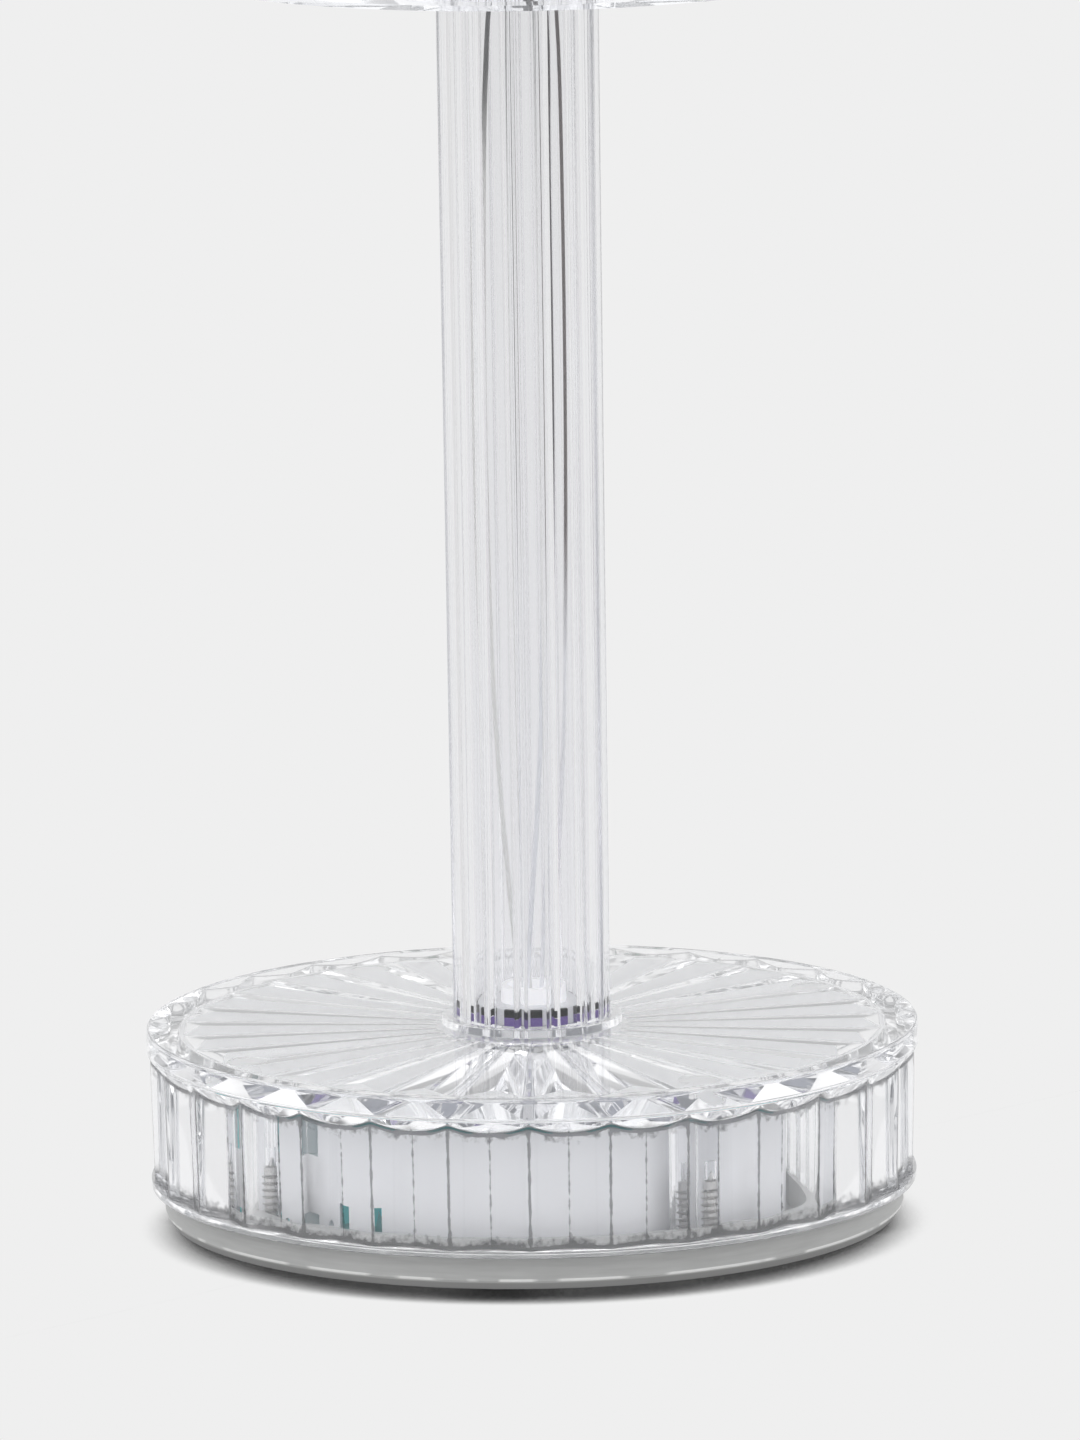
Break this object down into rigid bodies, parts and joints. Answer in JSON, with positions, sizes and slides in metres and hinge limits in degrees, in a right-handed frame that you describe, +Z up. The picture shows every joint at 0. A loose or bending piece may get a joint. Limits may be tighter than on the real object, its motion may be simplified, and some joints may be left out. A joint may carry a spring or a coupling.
{
  "type": "rechargeable table lamp",
  "caption": "Clear acrylic table lamp: fluted round base with a sunburst disc, fluted hollow column, and a fluted drum shade that lifts off.",
  "frame": {"origin": "on the surface the lamp stands on, on the lamp's axis, at the bottom of the feet", "axes": "+Z up along the column; the side that the picture shows faces -Y; the charging socket faces +Y"},
  "size_m": [0.1, 0.1, 0.2387],
  "materials": {
    "clear_acrylic": "clear, polished",
    "frosted_plate": "satin grey, slightly translucent",
    "silicone": "clear, soft sheen",
    "screw_steel": "zinc plated",
    "white_plastic": "moulded, fine satin",
    "cell_wrap": "shrink wrap over a steel can",
    "lead_sleeve": "soft sleeve, one red and one black of each pair",
    "board_green": "solder mask",
    "component_black": "moulded packages",
    "socket_steel": "drawn sheet",
    "violet_plastic": "turned, satin",
    "black_sleeve": "soft sleeve",
    "red_sleeve": "soft sleeve",
    "grey_sleeve": "soft sleeve",
    "light_board_white": "white mask on aluminium",
    "diode_phosphor": "yellow phosphor in clear resin",
    "frosted_diffuser": "frosted, translucent",
    "turned_brass": "turned",
    "spring_wire": "bright wire",
    "button_metal": "polished",
    "nut_steel": "zinc plated"
  },
  "bodies": {
    "lamp": {"base_shell": "clear_acrylic", "column": "clear_acrylic", "shade_plate": "clear_acrylic", "base_plate": "frosted_plate", "feet": "silicone", "base_screws": "screw_steel", "reflector_screws": "screw_steel", "inner_drum": "white_plastic", "reflector": "white_plastic", "nipple": "white_plastic", "battery_cell": "cell_wrap", "base_leads": "lead_sleeve", "control_board": "board_green", "charging_board": "board_green", "board_components": "component_black", "black_nut": "component_black", "charging_socket": "socket_steel", "violet_washer": "violet_plastic", "wire_black": "black_sleeve", "wire_red": "red_sleeve", "wire_touch": "grey_sleeve", "light_board": "light_board_white", "light_diodes": "diode_phosphor", "diffuser": "frosted_diffuser", "touch_post": "turned_brass", "touch_spring": "spring_wire"},
    "shade": {"shade_shell": "clear_acrylic", "touch_button": "button_metal", "button_nut": "nut_steel"}
  },
  "joints": [
    {"name": "shade_lift", "type": "slide", "parent": "lamp", "child": "shade", "axis": [0, 0, 1], "range_m": [0, 0.08]}
  ]
}
